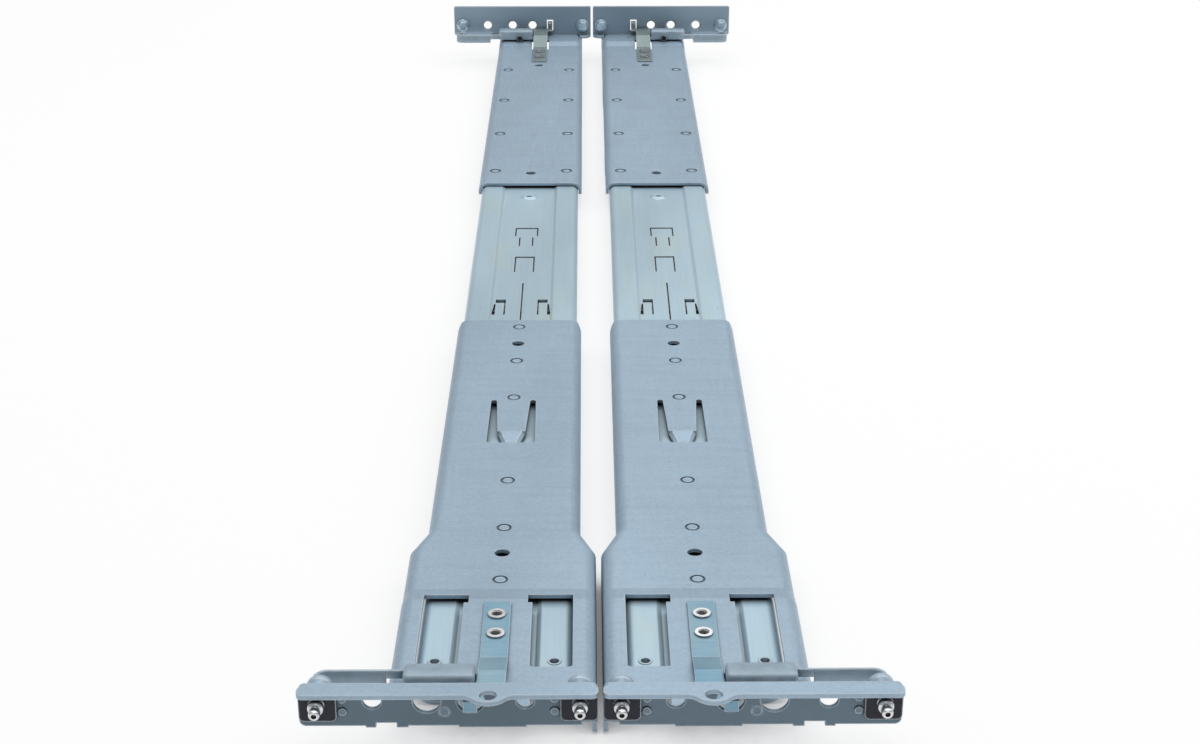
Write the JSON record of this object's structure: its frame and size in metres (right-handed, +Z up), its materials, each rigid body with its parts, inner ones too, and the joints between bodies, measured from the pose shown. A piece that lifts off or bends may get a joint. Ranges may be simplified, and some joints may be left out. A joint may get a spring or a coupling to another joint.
{
  "type": "sliding server rail pair",
  "caption": "Pair of telescopic ball-bearing rack rails with spring-latched ends, carrying a server between the posts of a rack.",
  "frame": {"origin": "centre of the pair's footprint on the surface that it lies on, midway between the front and rear flanges", "axes": "+X across the pair to the right-hand rail, +Y from the rack front to the rack rear, +Z up, out of the rails' outboard faces"},
  "size_m": [0.1752, 0.8068, 0.033],
  "materials": {
    "galvanised": "galvanised sheet, satin",
    "zinc": "bright zinc plate, satin",
    "spring_steel": "blued zinc, satin",
    "lever_steel": "zinc plate, satin",
    "chrome": "bright nickel",
    "dark_plate": "black, satin"
  },
  "bodies": {
    "right_frame": {"right_front_bracket": "galvanised", "right_outer_channel": "zinc", "right_front_strap": "spring_steel", "right_front_strap_rivets": "chrome", "right_front_lever_pivot": "lever_steel", "right_front_pins": "chrome", "right_front_pin_plates": "dark_plate", "right_front_plate_rivets": "galvanised"},
    "right_rear_end": {"right_rear_bracket": "galvanised", "right_rear_strap": "spring_steel", "right_rear_strap_rivets": "chrome", "right_rear_lever_pivot": "lever_steel", "right_rear_pins": "chrome"},
    "right_middle": {"right_middle_member": "zinc"},
    "right_cage": {"right_ball_cage": "zinc", "right_balls": "chrome"},
    "right_front_latch": {"right_front_hook": "spring_steel"},
    "right_rear_latch": {"right_rear_hook": "spring_steel"},
    "right_front_release": {"right_front_lever": "lever_steel"},
    "right_rear_release": {"right_rear_lever": "lever_steel"},
    "left_frame": {"left_front_bracket": "galvanised", "left_outer_channel": "zinc", "left_front_strap": "spring_steel", "left_front_strap_rivets": "chrome", "left_front_lever_pivot": "lever_steel", "left_front_pins": "chrome", "left_front_pin_plates": "dark_plate", "left_front_plate_rivets": "galvanised"},
    "left_rear_end": {"left_rear_bracket": "galvanised", "left_rear_strap": "spring_steel", "left_rear_strap_rivets": "chrome", "left_rear_lever_pivot": "lever_steel", "left_rear_pins": "chrome"},
    "left_middle": {"left_middle_member": "zinc"},
    "left_cage": {"left_ball_cage": "zinc", "left_balls": "chrome"},
    "left_front_latch": {"left_front_hook": "spring_steel"},
    "left_rear_latch": {"left_rear_hook": "spring_steel"},
    "left_front_release": {"left_front_lever": "lever_steel"},
    "left_rear_release": {"left_rear_lever": "lever_steel"}
  },
  "joints": [
    {"name": "right_rear_slide", "type": "slide", "parent": "right_frame", "child": "right_rear_end", "axis": [0, 1, 0], "range_m": [-0.181, 0.124]},
    {"name": "right_middle_slide", "type": "slide", "parent": "right_frame", "child": "right_middle", "axis": [0, -1, 0], "range_m": [0, 0.36]},
    {"name": "right_cage_slide", "type": "slide", "parent": "right_frame", "child": "right_cage", "axis": [0, -1, 0], "range_m": [0, 0.181]},
    {"name": "right_front_lever_hinge", "type": "hinge", "parent": "right_frame", "child": "right_front_release", "pos_m": [0.0454, -0.379, 0.0173], "axis": [0, 1, 0], "range_deg": [0, 4.5], "stiffness_Nm_per_rad": 1, "springref_deg": -2.86},
    {"name": "right_front_hook_hinge", "type": "hinge", "parent": "right_frame", "child": "right_front_latch", "pos_m": [0.0324, -0.3628, 0.0152], "axis": [-1, 0, 0], "range_deg": [0, 2.92]},
    {"name": "right_rear_lever_hinge", "type": "hinge", "parent": "right_rear_end", "child": "right_rear_release", "pos_m": [0.0454, 0.379, 0.0173], "axis": [0, 1, 0], "range_deg": [0, 4.5], "stiffness_Nm_per_rad": 1, "springref_deg": -2.86},
    {"name": "right_rear_hook_hinge", "type": "hinge", "parent": "right_rear_end", "child": "right_rear_latch", "pos_m": [0.0324, 0.365, 0.0138], "axis": [1, 0, 0], "range_deg": [0, 3.38]},
    {"name": "left_rear_slide", "type": "slide", "parent": "left_frame", "child": "left_rear_end", "axis": [0, 1, 0], "range_m": [-0.181, 0.124]},
    {"name": "left_middle_slide", "type": "slide", "parent": "left_frame", "child": "left_middle", "axis": [0, -1, 0], "range_m": [0, 0.36]},
    {"name": "left_cage_slide", "type": "slide", "parent": "left_frame", "child": "left_cage", "axis": [0, -1, 0], "range_m": [0, 0.181]},
    {"name": "left_front_lever_hinge", "type": "hinge", "parent": "left_frame", "child": "left_front_release", "pos_m": [-0.0454, -0.379, 0.0173], "axis": [0, -1, 0], "range_deg": [0, 4.5], "stiffness_Nm_per_rad": 1, "springref_deg": -2.86},
    {"name": "left_front_hook_hinge", "type": "hinge", "parent": "left_frame", "child": "left_front_latch", "pos_m": [-0.0324, -0.3628, 0.0152], "axis": [-1, 0, 0], "range_deg": [0, 2.92]},
    {"name": "left_rear_lever_hinge", "type": "hinge", "parent": "left_rear_end", "child": "left_rear_release", "pos_m": [-0.0454, 0.379, 0.0173], "axis": [0, -1, 0], "range_deg": [0, 4.5], "stiffness_Nm_per_rad": 1, "springref_deg": -2.86},
    {"name": "left_rear_hook_hinge", "type": "hinge", "parent": "left_rear_end", "child": "left_rear_latch", "pos_m": [-0.0324, 0.365, 0.0138], "axis": [1, 0, 0], "range_deg": [0, 3.38]},
    {"name": "left_rail_slide", "type": "slide", "parent": "right_frame", "child": "left_frame", "axis": [-1, 0, 0], "range_m": [0, 0.4]}
  ],
  "couplings": [
    {"joint": "right_cage_slide", "follows": "right_middle_slide", "ratio": 0.5},
    {"joint": "right_front_hook_hinge", "follows": "right_front_lever_hinge", "ratio": 0.65},
    {"joint": "right_rear_hook_hinge", "follows": "right_rear_lever_hinge", "ratio": 0.75},
    {"joint": "left_cage_slide", "follows": "left_middle_slide", "ratio": 0.5},
    {"joint": "left_front_hook_hinge", "follows": "left_front_lever_hinge", "ratio": 0.65},
    {"joint": "left_rear_hook_hinge", "follows": "left_rear_lever_hinge", "ratio": 0.75}
  ]
}
